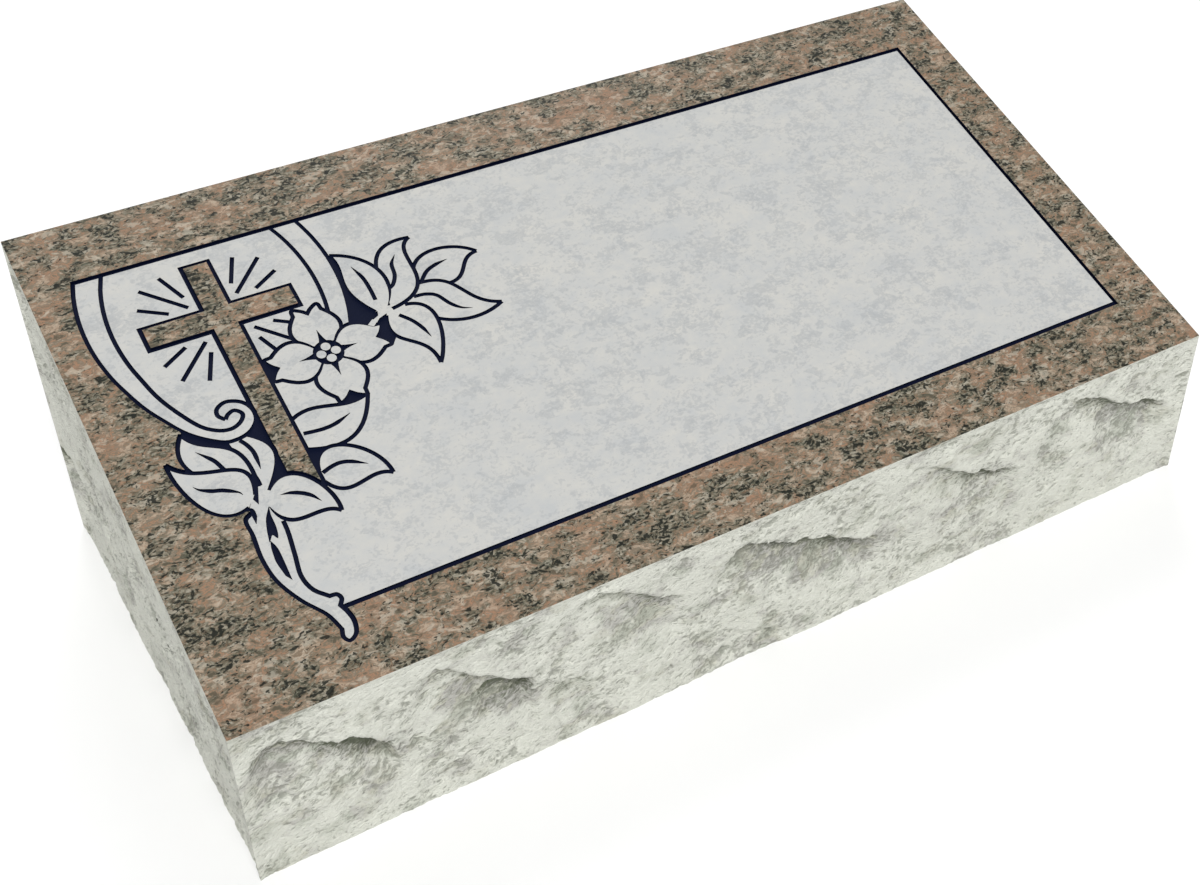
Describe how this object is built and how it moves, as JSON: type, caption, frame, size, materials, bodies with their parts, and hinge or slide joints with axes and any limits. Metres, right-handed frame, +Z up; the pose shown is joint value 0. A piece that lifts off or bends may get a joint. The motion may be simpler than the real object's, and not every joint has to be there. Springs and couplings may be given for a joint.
{
  "type": "grave marker",
  "caption": "Low granite bevel grave marker with rock-pitched sides, a polished border and a recessed panel carved with a cross, flowers and a scroll, left blank for an inscription.",
  "frame": {"origin": "centre of the footprint, on the plane of the underside", "axes": "+Z up; +X along the length, to the right of someone reading the panel; -Y faces that reader, on the low front side; +Y is the tall back side"},
  "size_m": [0.6096, 0.3048, 0.2032],
  "materials": {
    "granite": "polished border, frosted panel, rock-pitched sides"
  },
  "bodies": {
    "root": {"granite_marker": "granite"}
  },
  "joints": []
}
